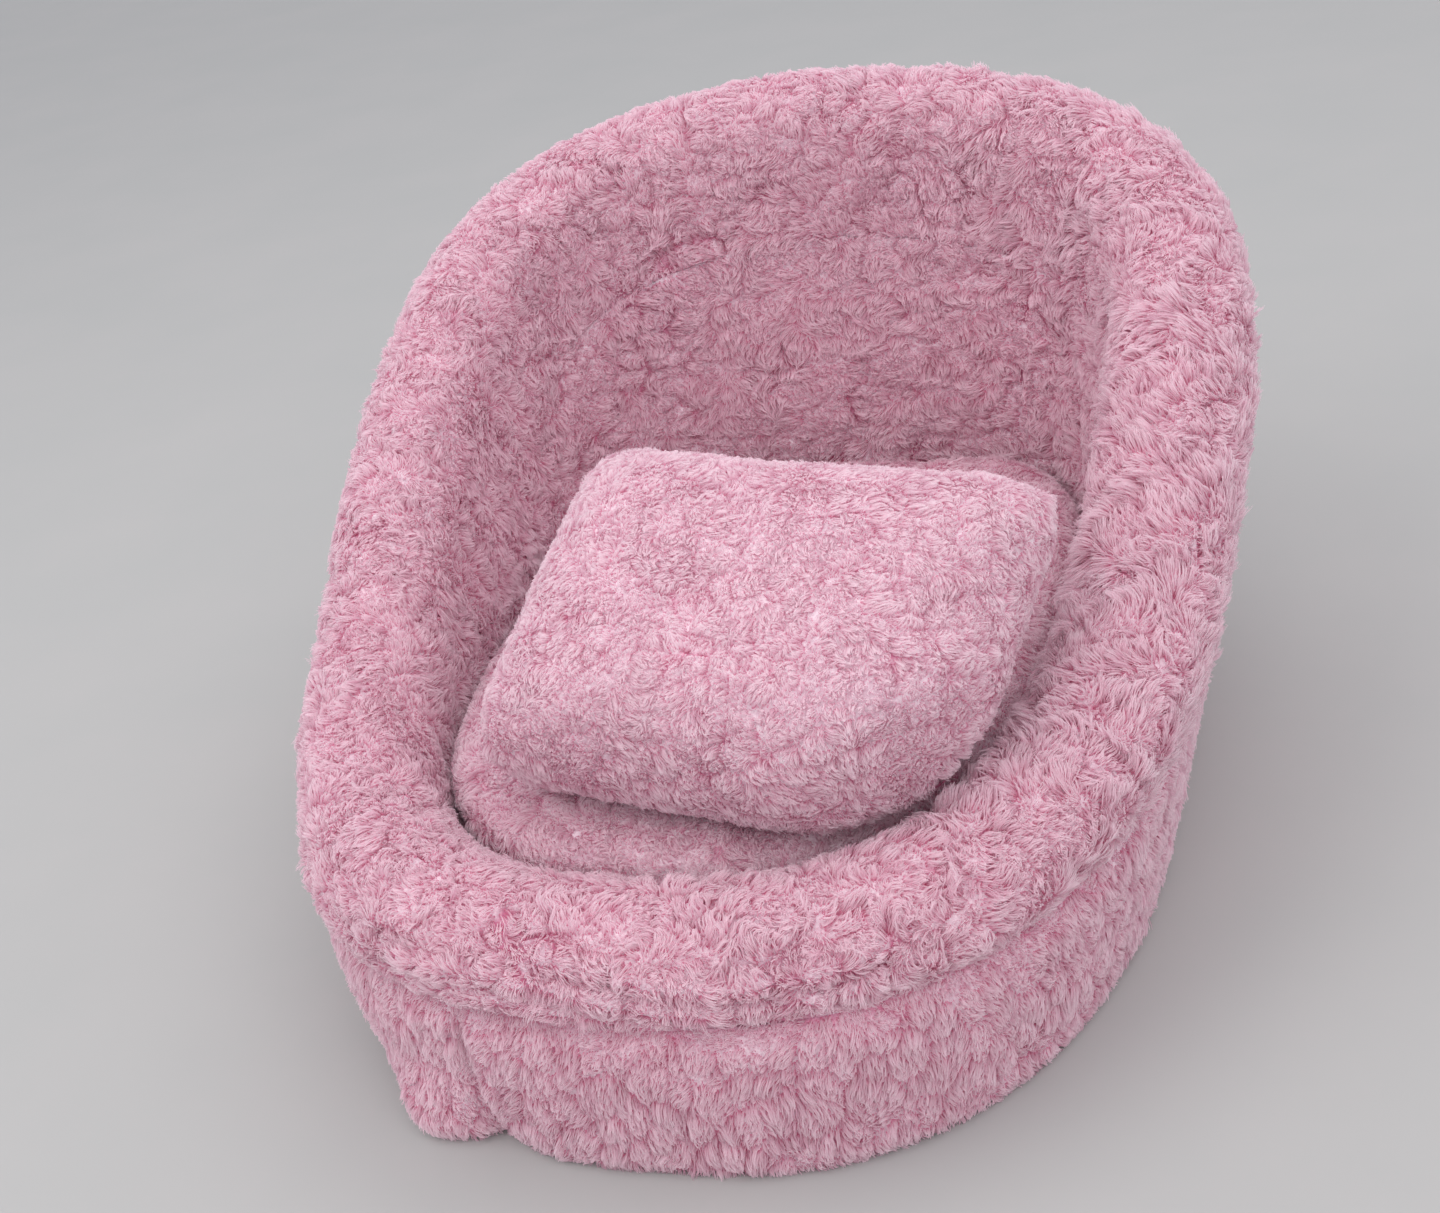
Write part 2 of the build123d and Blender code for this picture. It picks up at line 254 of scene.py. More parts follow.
def make_mesh(name, points, faces, corner_uvs=None, attributes=None):
    """A smooth mesh object from points in millimetres."""
    mesh = bpy.data.meshes.new(name)
    mesh.from_pydata((points.reshape(-1, 3) * MM).tolist(), [], faces.tolist())
    if corner_uvs is not None:
        layer = mesh.uv_layers.new(name="OFBake")
        layer.data.foreach_set("uv", corner_uvs.astype(np.float32).ravel())
    for label, values in (attributes or {}).items():
        attribute = mesh.attributes.new(label, "FLOAT", "POINT")
        attribute.data.foreach_set("value", values.astype(np.float32).ravel())
    mesh.shade_smooth()
    piece = bpy.data.objects.new(name, mesh)
    bpy.context.scene.collection.objects.link(piece)
    return piece


def ring_piece(name, front, back, attributes):
    """A closed sleeve: a fine front grid and a coarse back grid, joined along both hems."""
    points = np.concatenate([front, back], axis=1)
    columns, rows = points.shape[:2]
    faces, corner_columns, corner_rows = grid_faces(columns, rows, True, True)
    front_rows = front.shape[1]
    row_place = np.concatenate([
        np.linspace(*SLEEVE_FRONT, front_rows),
        np.linspace(*SLEEVE_BACK, rows - front_rows),
        [1.0],
    ])
    uvs = np.stack([corner_columns / columns, row_place[corner_rows]], axis=-1)
    filled = {}
    for label, values in attributes.items():
        filled[label] = np.concatenate([values, np.zeros((columns, rows - front_rows))], axis=1)
    return make_mesh(name, points, faces, uvs, filled)


def panel_piece(name, front, thickness, attributes):
    """A closed panel: a front grid, the same grid moved in by its thickness, and an edge between them."""
    back = front - facing(front, False) * thickness[..., None]
    columns, rows = front.shape[:2]
    count = columns * rows
    faces, corner_columns, corner_rows = grid_faces(columns, rows, False)
    edge = np.concatenate([
        np.arange(columns) * rows,
        (columns - 1) * rows + np.arange(1, rows),
        np.arange(columns - 2, -1, -1) * rows + rows - 1,
        np.arange(rows - 2, 0, -1),
    ])
    after = np.roll(edge, -1)
    rim = np.stack([after, edge, edge + count, after + count], axis=-1)
    all_faces = np.concatenate([faces, faces[:, ::-1] + count, rim])
    front_uvs = np.stack([corner_columns / (columns - 1) * PANEL_FRONT, corner_rows / (rows - 1)], axis=-1)
    back_uvs = front_uvs[:, ::-1] * (PANEL_BACK / PANEL_FRONT, 1) + (PANEL_BACK_START, 0)
    rim_uvs = np.broadcast_to(np.array(PANEL_EDGE), (len(rim), 4, 2))
    uvs = np.concatenate([front_uvs, back_uvs, rim_uvs])
    filled = {}
    for label, values in attributes.items():
        filled[label] = np.concatenate([values.ravel(), 0 * values.ravel()])
    points = np.concatenate([front.reshape(-1, 3), back.reshape(-1, 3)])
    return make_mesh(name, points, all_faces, uvs, filled)


# ---------------------------------------------------------------- materials


# A colour mix node's sockets by number, because its colour sockets share their names with others
MIX_FACTOR = 0
MIX_FIRST = 6
MIX_SECOND = 7
MIX_RESULT = 2


class Nodes:
    """A short way to write a material's node tree."""

    def __init__(self, name):
        self.material = bpy.data.materials.new(name)
        self.material.use_nodes = True
        self.tree = self.material.node_tree
        self.tree.nodes.clear()
        self.shader = self.add("ShaderNodeBsdfPrincipled")
        self.output = self.add("ShaderNodeOutputMaterial")
        self.join(self.shader, "BSDF", self.output, "Surface")

    def add(self, kind, settings=None, **values):
        node = self.tree.nodes.new(kind)
        for key, value in (settings or {}).items():
            setattr(node, key, value)
        for key, value in values.items():
            node.inputs[key.replace("_", " ")].default_value = value
        return node

    def join(self, source, output, target, socket):
        self.tree.links.new(source.outputs[output], target.inputs[socket])

    def ramp(self, source, output, stops):
        """A colour ramp from a value, with (place, colour) stops."""
        node = self.add("ShaderNodeValToRGB")
        ramp = node.color_ramp
        while len(ramp.elements) < len(stops):
            ramp.elements.new(0.5)
        for element, (place, colour) in zip(ramp.elements, stops):
            element.position = place
            element.color = (*colour, 1)
        self.join(source, output, node, "Fac")
        return node

    def noise(self, scale, detail=3.0, roughness=0.55):
        """Noise in the object's own space, with scale in waves per metre."""
        place = self.add("ShaderNodeTexCoord")
        node = self.add("ShaderNodeTexNoise", Scale=scale, Detail=detail, Roughness=roughness)
        self.join(place, "Object", node, "Vector")
        return node

    def bump(self, source, output, strength, distance):
        node = self.add("ShaderNodeBump", Strength=strength, Distance=distance)
        self.join(source, output, node, "Height")
        self.join(node, "Normal", self.shader, "Normal")
        return node

    def multiply(self, share, first, second):
        """One colour tinted by another. Each is a (node, output) pair, and so is the result."""
        node = self.add("ShaderNodeMix", {"data_type": "RGBA", "blend_type": "MULTIPLY"})
        node.inputs[MIX_FACTOR].default_value = share
        self.join(*first, node, MIX_FIRST)
        self.join(*second, node, MIX_SECOND)
        return node, MIX_RESULT


def linear(*channels):
    """A linear colour from the usual sRGB numbers, which are above 10 and up to 255."""
    return tuple(((channel / 255 + 0.055) / 1.055) ** 2.4 for channel in channels)


WHITE = linear(255, 255, 255)
# The crease colours are painted shade: the deep pink where the pile dips and at the strands' roots. The
# middle and tip colours are the pile's own.
PLUSH_CREASE_SHADE = linear(227, 130, 168)
PLUSH_MIDDLE = linear(243, 218, 227)
PLUSH_TIP = linear(249, 232, 238)
PALE_CREASE_SHADE = linear(230, 140, 176)
PALE_MIDDLE = linear(244, 222, 230)
PALE_TIP = linear(250, 236, 241)


def plush_material(name, crease, middle, tip):
    """The pile's bed: deep pink painted shade in the creases, paler on the tufts, with fine curls in the
    bump.
    """
    nodes = Nodes(name)
    tuft = nodes.add("ShaderNodeAttribute", {"attribute_name": "tuft"})
    # The ramp paints shade: the bed turns deep pink where the tufts dip, and where the tuft value is lowered
    # at hems and seams.
    colour = nodes.ramp(tuft, "Fac", [(0.0, crease), (0.4, middle), (1.0, tip)])
    patches = nodes.noise(34, 2)
    patch_tone = nodes.ramp(patches, "Fac", [(0.3, linear(226, 214, 220)), (0.7, WHITE)])
    curls = nodes.noise(620, 4, 0.7)
    curl_tone = nodes.ramp(curls, "Fac", [(0.36, linear(206, 172, 188)), (0.62, WHITE)])
    patchy = nodes.multiply(0.7, (colour, "Color"), (patch_tone, "Color"))
    curly = nodes.multiply(0.55, patchy, (curl_tone, "Color"))
    nodes.join(*curly, nodes.shader, "Base Color")
    nodes.bump(curls, "Fac", 0.7, 0.0012)
    nodes.shader.inputs["Roughness"].default_value = 0.95
    nodes.shader.inputs["Specular IOR Level"].default_value = 0.15
    nodes.shader.inputs["Sheen Weight"].default_value = 0.2
    nodes.shader.inputs["Sheen Roughness"].default_value = 0.55
    nodes.shader.inputs["Sheen Tint"].default_value = (*linear(250, 214, 228), 1)
    return nodes.material


def fibre_material(name, crease, middle, tip):
    """The pile's strands: deep at the root as painted shade, pale at the tip, each lock a little different,
    and darker near the tufts' borders as painted shade.
    """
    nodes = Nodes(name)
    strand = nodes.add("ShaderNodeHairInfo")
    # The roots take the crease colour as painted shade.
    colour = nodes.ramp(strand, "Intercept", [(0.0, crease), (0.3, middle), (0.9, tip)])
    # Each lock's tone mixes a random tone with painted shade near the tufts' borders.
    tone = nodes.add("ShaderNodeAttribute", {"attribute_name": "tone"})
    lock_tone_and_crease_shade = nodes.ramp(tone, "Fac", [(0.0, linear(236, 208, 220)), (0.6, WHITE)])
    toned = nodes.multiply(0.8, (colour, "Color"), (lock_tone_and_crease_shade, "Color"))
    nodes.join(*toned, nodes.shader, "Base Color")
    nodes.shader.inputs["Roughness"].default_value = 0.8
    nodes.shader.inputs["Specular IOR Level"].default_value = 0.08
    glow = nodes.add("ShaderNodeBsdfTranslucent")
    nodes.join(*toned, glow, "Color")
    both = nodes.add("ShaderNodeMixShader", Fac=0.6)
    nodes.join(nodes.shader, "BSDF", both, 1)
    nodes.join(glow, "BSDF", both, 2)
    nodes.join(both, "Shader", nodes.output, "Surface")
    return nodes.material


PLUSH = plush_material("plush_bed", PLUSH_CREASE_SHADE, PLUSH_MIDDLE, PLUSH_TIP)
PLUSH_FIBRES = fibre_material("plush_fibres", PLUSH_CREASE_SHADE, PLUSH_MIDDLE, PLUSH_TIP)
PALE_PLUSH = plush_material("pale_plush_bed", PALE_CREASE_SHADE, PALE_MIDDLE, PALE_TIP)
PALE_FIBRES = fibre_material("pale_plush_fibres", PALE_CREASE_SHADE, PALE_MIDDLE, PALE_TIP)


# The wave texture's scale for one band a metre
WAVE_SCALE = pi / 10


def weave_material(name, dark, light, threads):
    """Woven cloth: warp and weft threads in colour and relief. Threads are per metre.

    The threads are turned about every axis, so that no face of the cloth lies along them.
    """
    nodes = Nodes(name)
    place = nodes.add("ShaderNodeTexCoord")
    turn = radians(45)
    crossing = nodes.add("ShaderNodeMath", {"operation": "MULTIPLY"})
    for index, direction in enumerate(("X", "Y")):
        spin = nodes.add("ShaderNodeMapping", Rotation=(turn, turn, turn))
        nodes.join(place, "Object", spin, "Vector")
        wave = nodes.add(
            "ShaderNodeTexWave",
            {"bands_direction": direction},
            Scale=threads * WAVE_SCALE,
            Distortion=0.6,
        )
        nodes.join(spin, "Vector", wave, "Vector")
        nodes.join(wave, "Fac", crossing, index)
    tone = nodes.ramp(crossing, "Value", [(0.0, dark), (0.7, light)])
    slubs = nodes.noise(90, 4)
    slub_tone = nodes.ramp(slubs, "Fac", [(0.3, linear(226, 222, 224)), (0.7, WHITE)])
    mixed = nodes.multiply(0.6, (tone, "Color"), (slub_tone, "Color"))
    nodes.join(*mixed, nodes.shader, "Base Color")
    nodes.bump(crossing, "Value", 0.6, 0.0004)
    nodes.shader.inputs["Roughness"].default_value = 0.85
    nodes.shader.inputs["Sheen Weight"].default_value = 0.2
    return nodes.material


def foam_material(name, dark, light, cells):
    """Open-cell foam: small dark pores in a pale skeleton."""
    nodes = Nodes(name)
    place = nodes.add("ShaderNodeTexCoord")
    pores = nodes.add("ShaderNodeTexVoronoi", Scale=cells)
    nodes.join(place, "Object", pores, "Vector")
    tone = nodes.ramp(pores, "Distance", [(0.1, dark), (0.5, light)])
    nodes.join(tone, "Color", nodes.shader, "Base Color")
    nodes.bump(pores, "Distance", 0.7, 0.0008)
    nodes.shader.inputs["Roughness"].default_value = 0.95
    return nodes.material


def fibre_fill_material():
    nodes = Nodes("loose_fibre")
    wisps = nodes.noise(260, 6, 0.75)
    tone = nodes.ramp(wisps, "Fac", [(0.3, linear(206, 205, 203)), (0.7, linear(246, 246, 244))])
    nodes.join(tone, "Color", nodes.shader, "Base Color")
    nodes.shader.inputs["Roughness"].default_value = 1.0
    nodes.bump(wisps, "Fac", 0.8, 0.002)
    return nodes.material


def non_slip_material():
    """Pressed grey fibre cloth with rubbery specks."""
    nodes = Nodes("non_slip")
    felt = nodes.noise(700, 5, 0.7)
    tone = nodes.ramp(felt, "Fac", [(0.35, linear(84, 80, 84)), (0.65, linear(128, 123, 127))])
    nodes.join(tone, "Color", nodes.shader, "Base Color")
    nodes.bump(felt, "Fac", 0.6, 0.0006)
    nodes.shader.inputs["Roughness"].default_value = 0.8
    return nodes.material


def metal_material():
    """Satin plated metal with fine scratches."""
    nodes = Nodes("zip_plating")
    scratches = nodes.noise(2600, 5, 0.8)
    tone = nodes.ramp(scratches, "Fac", [(0.3, linear(178, 172, 174)), (0.7, linear(226, 221, 222))])
    rough = nodes.add("ShaderNodeMapRange", To_Min=0.24, To_Max=0.44)
    nodes.join(scratches, "Fac", rough, "Value")
    nodes.join(rough, "Result", nodes.shader, "Roughness")
    nodes.join(tone, "Color", nodes.shader, "Base Color")
    nodes.bump(scratches, "Fac", 0.15, 0.0001)
    nodes.shader.inputs["Metallic"].default_value = 1.0
    return nodes.material


def nylon_material():
    nodes = Nodes("zip_nylon_pink")
    streaks = nodes.noise(1500, 3)
    tone = nodes.ramp(streaks, "Fac", [(0.3, linear(214, 148, 174)), (0.7, linear(232, 172, 196))])
    nodes.join(tone, "Color", nodes.shader, "Base Color")
    nodes.bump(streaks, "Fac", 0.1, 0.0001)
    nodes.shader.inputs["Roughness"].default_value = 0.42
    return nodes.material


LINING_CLOTH = weave_material("lining_weave", linear(186, 116, 146), linear(226, 166, 190), 900)
TAPE_CLOTH = weave_material("zip_tape_weave", linear(196, 128, 156), linear(230, 172, 196), 1600)
LABEL_SATIN = weave_material("label_satin", linear(226, 223, 218), linear(250, 248, 245), 2400)
FOAM = foam_material("pale_foam", linear(190, 184, 160), linear(232, 228, 210), 900)
DENSE_FOAM = foam_material("dense_foam", linear(196, 192, 172), linear(236, 233, 218), 1500)
LOOSE_FIBRE = fibre_fill_material()
NON_SLIP = non_slip_material()
METAL = metal_material()
NYLON = nylon_material()

CAD_LOOKS = {
    "wall_foam": FOAM,
    "rim_filling": LOOSE_FIBRE,
    "base_foam": DENSE_FOAM,
    "seat_foam": DENSE_FOAM,
    "underside_cover": NON_SLIP,
    "care_label": LABEL_SATIN,
    "seat_zip_tape": TAPE_CLOTH,
    "pillow_zip_tape": TAPE_CLOTH,
    "seat_zip_stops": METAL,
    "pillow_zip_stops": METAL,
    "seat_zip_slider": METAL,
    "pillow_zip_slider": METAL,
    "pillow_zip_pull": METAL,
}
for node, look in CAD_LOOKS.items():
    for material_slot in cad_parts[node].material_slots:
        material_slot.material = look

# ---------------------------------------------------------------- the pile

SHORTEST_STRAND = 1.0
STRAND_RADII = np.array([0.17, 0.18, 0.17, 0.14, 0.08])
LOCK_SIZE = 2.5
LOCK_GATHER = 0.27
TUFT_PULL = 0.55
CURL = 0.35
PILE_DENSITY = 1.4
PILLOW_PILE_DENSITY = 1.7
LARGE_WAVE = 46
SMALL_WAVE = 19


class TuftKind(NamedTuple):
    """A plush's tufts: their size and rise, how space is stretched before they are laid out, their seed."""

    size: float
    rise: float
    stretch: tuple
    seed: int


def displaced(bed, ring, pile, kind, calm=0.0):
    """The bed with its tufts raised. Gives the points, and how high on a tuft each one is."""
    key, border = tufts(bed * np.array(kind.stretch), kind.size, kind.seed)[1:]
    deep = smooth_step(-0.3, 0.6, swell(bed, 1.6 * kind.size, kind.seed + 12))
    depth = (1 - 0.75 * calm) * (0.1 + 0.9 * deep)
    dome = 1 - depth * (1 - smooth_step(0, 0.4, border))
    lock_border = tufts(bed, 2 * LOCK_SIZE, kind.seed + 11)[2]
    lock_dome = smooth_step(0, 0.5, lock_border)
    unevenness = 0.7 * swell(bed, LARGE_WAVE, kind.seed + 21) + 0.6 * swell(bed, SMALL_WAVE, kind.seed + 22)
    rise = kind.rise * (dome - 0.7) + 0.5 * (key - 0.5) + 0.6 * (lock_dome - 0.5) + unevenness
    points = bed + facing(bed, ring) * (rise * pile)[..., None]
    return points, np.clip(0.8 * dome + 0.2 * lock_dome, 0, 1)


def sample(points, normals, extras, ring, density, seed):
    """Roots scattered by area over a grid, with the extras carried along."""
    columns, rows = points.shape[:2]
    faces = grid_faces(columns, rows, ring)[0]
    triangles = np.concatenate([faces[:, [0, 1, 2]], faces[:, [0, 2, 3]]])
    flat = points.reshape(-1, 3)
    a, b, c = flat[triangles[:, 0]], flat[triangles[:, 1]], flat[triangles[:, 2]]
    area = np.linalg.norm(np.cross(b - a, c - a), axis=-1) / 2
    edges = np.cumsum(area)
    chance = np.random.default_rng(seed)
    count = int(edges[-1] * density)
    chosen = triangles[np.searchsorted(edges, chance.random(count) * edges[-1])]
    first, second = np.sqrt(chance.random(count)), chance.random(count)
    weights = np.stack([1 - first, first * (1 - second), first * second], axis=-1)

    def carried(values):
        return np.einsum("nk,nk...->n...", weights, values.reshape(columns * rows, -1)[chosen])

    return carried(points), unit(carried(normals)), [carried(extra) for extra in extras], chance


def grow(name, body, points, ring, comb, length, kind, seed, fibres, density=PILE_DENSITY, lean=0.8):
    """Strands of pile over a grid: locks that curl together and lean with the comb."""
    normals = facing(points, ring)
    extras = [comb, length[..., None]]
    roots, normal, (combed, lengths), chance = sample(points, normals, extras, ring, density, seed)
    kept = lengths[:, 0] > SHORTEST_STRAND
    roots, normal, combed, lengths = roots[kept], normal[kept], combed[kept], lengths[kept, 0]
    lengths = lengths * (0.82 + 0.3 * chance.random(len(roots)))
    lock_centre, key = tufts(roots, LOCK_SIZE, seed + 31)[:2]
    stretch = np.array(kind.stretch)
    tuft_centre, tuft_key, border = tufts(roots * stretch, kind.size, kind.seed)
    tuft_centre = tuft_centre / stretch

    def in_surface(vectors):
        return vectors - normal * np.sum(vectors * normal, axis=-1, keepdims=True)

    side = unit(np.cross(normal, (0.36, 0.48, 0.8)))
    other = np.cross(normal, side)

    def turned(turns):
        angle = 2 * pi * turns[:, None]
        return np.cos(angle) * side + np.sin(angle) * other

    lock_length = lengths * (0.92 + 0.16 * np.modf(key * 7.31)[0])
    to_lock = in_surface(lock_centre - roots)
    to_tuft = in_surface(tuft_centre - roots) / kind.size
    drift = turned(swell(roots, 26, seed + 41) + 0.3 * swell(roots, 9, seed + 42))
    leaning = 0.3 * turned(tuft_key) + 0.25 * turned(key) + 0.7 * drift
    heading = in_surface(combed) + lean * leaning + TUFT_PULL * to_tuft
    phase = np.modf(key * 13.7)[0] + 0.1 * chance.random(len(roots))
    strands = np.empty((len(roots), len(STRAND_RADII), 3))
    for step, along in enumerate(np.linspace(0, 1, len(STRAND_RADII))):
        rise = lock_length * (0.8 * along - 0.35 * along**2)
        drop = lock_length * 0.8 * along**1.4
        gather = LOCK_GATHER * min(1, 1.6 * along)
        coil = CURL * along * turned(phase + 0.9 * along)
        strands[:, step] = roots + normal * rise[:, None] + heading * drop[:, None] + gather * to_lock + coil
    curves = bpy.data.hair_curves.new(name)
    curves.add_curves([len(STRAND_RADII)] * len(roots))
    curves.attributes["position"].data.foreach_set("vector", (strands * MM).astype(np.float32).ravel())
    radius = curves.attributes.get("radius") or curves.attributes.new("radius", "FLOAT", "POINT")
    radius.data.foreach_set("value", np.tile(STRAND_RADII * MM, len(roots)).astype(np.float32))
    tone = curves.attributes.new("tone", "FLOAT", "CURVE")
    # The tone is each lock's random tone plus painted shade: strands near a tuft's border get darker.
    crease = smooth_step(0, 0.16, border)
    random_tone_and_crease_shade = 0.45 * np.modf(key * 5.3)[0] + 0.55 * crease * (0.6 + 0.4 * tuft_key)
    tone.data.foreach_set("value", random_tone_and_crease_shade.astype(np.float32))
    pile = bpy.data.objects.new(name, curves)
    bpy.context.scene.collection.objects.link(pile)
    curves.materials.append(fibres)
    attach(pile, body)


# ---------------------------------------------------------------- the tub's plush pieces

COLUMNS = 640
ANGLES = np.linspace(-pi, pi, COLUMNS, endpoint=False)[:, None]
RIM_ROWS = 104
RIM_BACK_ROWS = 14
BAND_ROWS = 52
LINING_ROWS = 64
BACK_ROWS = 8

RIM_TUFTS = TuftKind(10.5, 2.6, (1.0, 1.0, 1.0), 5)
BAND_TUFTS = TuftKind(9.0, 1.6, (1.1, 1.1, 0.55), 205)
LINING_TUFTS = TuftKind(9.0, 2.2, (0.55, 0.55, 1.4), 405)

# Where the stuffing stands out or the cloth dips: by how much, at what angle in degrees, and how wide
RIM_SLUMP = (5.5, -28, 12)
RIM_SWELLS = ((5.0, -136, 22), (-2.0, -64, 14), (-2.2, 168, 26))
BAND_SLUMP = (6.5, -34, 13)
FOOT_LUMP = (12.0, -22, 5)
BAND_HOLLOW = (2.5, 78, 25)
SEAM_TUCK = (4.0, -14.5, 2.6)
SIDE_SEAM = (3.2, -15.5, 0.9)
FOLD_DEPTH = 2.0
FOLD_SPREAD = (-2, 32)
FOLD_PITCH = 11
LABEL_BED = 1.4
LABEL_SIDE = (24, 18)
LABEL_TOP = (84, 90)


def rim_section(share, inset):
    """The rim cover's section at each angle, from its outer hem over the rim, and the way from that hem."""
    spring = spring_height(ANGLES)
    outer = spring - seam_height(ANGLES) - SEWN_GAP
    arch = pi * RIM_ROUND
    inner = spring - lining_height(ANGLES)
    along = share * (outer + arch + inner)
    past_arch = along - outer - arch
    turn = np.clip((along - outer) / arch, 0, 1) * pi
    height = np.where(along < outer, spring - outer + along, spring + (RIM_ROUND - inset) * np.sin(turn))
    height = np.where(past_arch > 0, spring - past_arch, height)
    outside = wall_reach(ANGLES, np.minimum(height, spring), inset)
    inside = wall_reach(ANGLES, np.minimum(height, spring), WALL - inset)
    at_spring = wall_reach(ANGLES, spring, WALL / 2)
    arched = at_spring + (RIM_ROUND - inset) * slant(ANGLES) * np.cos(turn)
    radius = np.where(along < outer, outside, np.where(past_arch > 0, inside, arched))
    return from_axis(ANGLES, radius, height), along


def hem_dip(from_hem, depth, width):
    return depth * np.exp(-((from_hem / width) ** 2))


def around(degrees, width):
    """1 at an angle on the tub, falling to 0 to either side of it."""
    away = (ANGLES - radians(degrees) + pi) % (2 * pi) - pi
    return np.exp(-((away / radians(width)) ** 2))


def bulge(depth, degrees, width):
    return depth * around(degrees, width)


def make_rim_cover():
    share = np.linspace(0, 1, RIM_ROWS)[None, :]
    from_outer_hem = rim_section(share, 0)[1]
    skirt = smooth_step(75, 25, from_outer_hem)
    fold_sway = 2.5 * np.sin(5 * ANGLES) + 1.5 * np.sin(11 * ANGLES)
    fold_wave = np.sin(2 * pi * from_outer_hem / FOLD_PITCH + fold_sway)
    folds = FOLD_DEPTH * fold_wave * smooth_step(32, 20, from_outer_hem) * around(*FOLD_SPREAD)
    outside = smooth_step(0.75, 0.45, share)
    crown = sum(bulge(*place) for place in RIM_SWELLS)
    fuller = bulge(*RIM_SLUMP) * skirt + crown * outside
    inset = PILE_BED - folds - fuller + hem_dip(from_outer_hem, SEAM_DIP, 6)
    bed = relaxed(rim_section(share, inset)[0], 3, True)
    back = rim_section(np.linspace(1, 0, RIM_BACK_ROWS)[None, :], BACKING)[0]
    pile = smooth_step(0, 9, from_outer_hem)
    points, tuft = displaced(bed, True, pile, RIM_TUFTS)
    # The tuft value is lowered where the pile thins, painting shade along the hems.
    cover = ring_piece("rim_cover_plush", points, back, {"tuft": tuft * (0.35 + 0.65 * pile)})
    cover.data.materials.append(PLUSH)
    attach(cover, "shell")
    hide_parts("rim_cover")
    along, over = slopes(bed, True)
    rightness = np.sin(ANGLES)[..., None]
    comb = 0.35 * over * smooth_step(-0.2, 0.9, rightness) + 0.12 * along
    length = (6.0 + 1.6 * smooth_step(0, 1, np.sin(ANGLES))) * (0.62 + 0.38 * pile)
    grow("rim_pile", "shell", points, True, comb, length, RIM_TUFTS, 100, PLUSH_FIBRES)


def make_lower_band():
    share = np.linspace(0, 1, BAND_ROWS)[None, :]
    low, high = HEM_HEIGHT, seam_height(ANGLES)
    height = mix(low, high, share)
    belly = (1.0 + bulge(*BAND_SLUMP)) * np.sin(pi * share) ** 0.7
    foot = bulge(*FOOT_LUMP) * smooth_step(34, 6, height)
    hems = hem_dip(high - height, SEAM_DIP, 5) + hem_dip(height - low, 1.2, 3)
    inset = PILE_BED - belly - foot + bulge(*BAND_HOLLOW) + hems
    side_seam = around(*SIDE_SEAM[1:])
    tuck = bulge(*SEAM_TUCK) * smooth_step(30, 2, height)
    inset = np.minimum(inset + bulge(*SIDE_SEAM) + tuck, BACKING - LEAST_PLUSH)
    from_middle = np.abs(pi - np.abs(ANGLES)) * TOP_BACK_REACH
    label = smooth_step(*LABEL_SIDE, from_middle) * smooth_step(*LABEL_TOP, height)
    inset = mix(inset, LABEL_BED, label)
    bed = from_axis(ANGLES, wall_reach(ANGLES, height, inset), height)
    back_height = mix(high, low, np.linspace(0, 1, BACK_ROWS)[None, :])
    back = from_axis(ANGLES, wall_reach(ANGLES, back_height, BACKING), back_height)
    pile = smooth_step(0, 8, high - height) * (0.5 + 0.5 * smooth_step(0, 8, height - low))
    pile = pile * (1 - 0.7 * side_seam) * (1 - label)
    points, tuft = displaced(bed, True, pile, BAND_TUFTS)
    # The tuft value is lowered where the pile thins, painting shade along the hems, the side seam and under
    # the label.
    band = ring_piece("lower_band_plush", points, back, {"tuft": tuft * (0.3 + 0.7 * pile)})
    band.data.materials.append(PLUSH)
    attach(band, "shell")
    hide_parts("lower_band")
    up = slopes(bed, True)[1]
    length = 5.0 * (0.6 + 0.4 * pile) * (1 - label)
    grow("band_pile", "shell", points, True, -0.6 * up, length, BAND_TUFTS, 300, PLUSH_FIBRES, lean=0.5)


def make_inner_lining():
    share = np.linspace(0, 1, LINING_ROWS)[None, :]
    low, high = DECK_TOP + SEWN_GAP, lining_height(ANGLES)
    height = mix(high, low, share)
    bed = from_axis(ANGLES, wall_reach(ANGLES, height, WALL - PILE_BED), height)
    back_height = mix(low, high, np.linspace(0, 1, BACK_ROWS)[None, :])
    back = from_axis(ANGLES, wall_reach(ANGLES, back_height, WALL - BACKING), back_height)
    pile = 0 * ANGLES + 0.4 + 0.6 * smooth_step(0, 12, height - low)
    points, tuft = displaced(bed, True, pile, LINING_TUFTS)
    # The tuft value is lowered where the pile thins, painting shade at the wall's foot by the seat.
    lining = ring_piece("inner_lining_plush", points, back, {"tuft": tuft * (0.35 + 0.65 * pile)})
    lining.data.materials.append(PLUSH)
    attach(lining, "shell")
    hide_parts("inner_lining")
    down = slopes(bed, True)[1]
    grow("lining_pile", "shell", points, True, 0.3 * down, 5.4 * pile, LINING_TUFTS, 500, PLUSH_FIBRES)


make_rim_cover()
make_lower_band()
make_inner_lining()

# ---------------------------------------------------------------- seat cushion

SEAT_ROUND = 12
SEAT_COUNT = 196
SEAT_PLUSH = 3.6
SEAT_CLOTH = 2.4
SEAT_TUFTS = TuftKind(12.0, 0.9, (0.9, 0.9, 1.0), 605)
SEAT_ZIP_SIDE = (72, 66)
SEAT_ZIP_TOP = (88, 82)
SEAT_ZIP_FRONT = (130, 140)
DECK_COUNT = 120
DECK_CLOTH = 0.7


